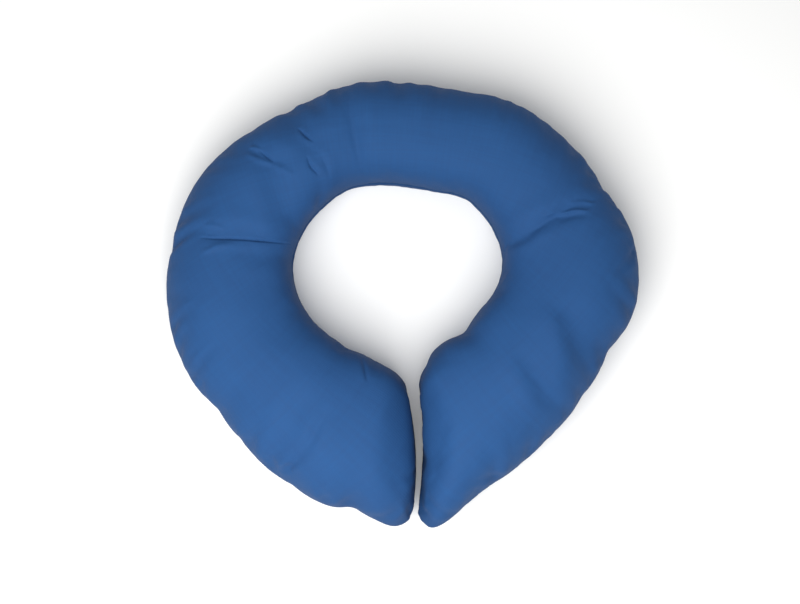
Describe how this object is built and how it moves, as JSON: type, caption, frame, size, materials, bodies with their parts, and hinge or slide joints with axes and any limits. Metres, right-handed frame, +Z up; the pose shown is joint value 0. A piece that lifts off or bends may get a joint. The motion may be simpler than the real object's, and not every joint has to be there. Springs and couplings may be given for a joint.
{
  "type": "neck pillow",
  "caption": "Neck pillow: a stuffed ring of plain woven cloth, split at the front to slip round the neck, sewn from an upper and a lower panel.",
  "frame": {"origin": "middle of the bounding box in plan, on the surface that the pillow lies on", "axes": "+Z up, +Y towards the back of the neck, -Y towards the split, +X to the right seen from above"},
  "size_m": [0.3094, 0.2922, 0.0731],
  "materials": {
    "cloth": "plain woven cloth with a slight sheen"
  },
  "bodies": {
    "root": {"pillow": "cloth"}
  },
  "joints": []
}
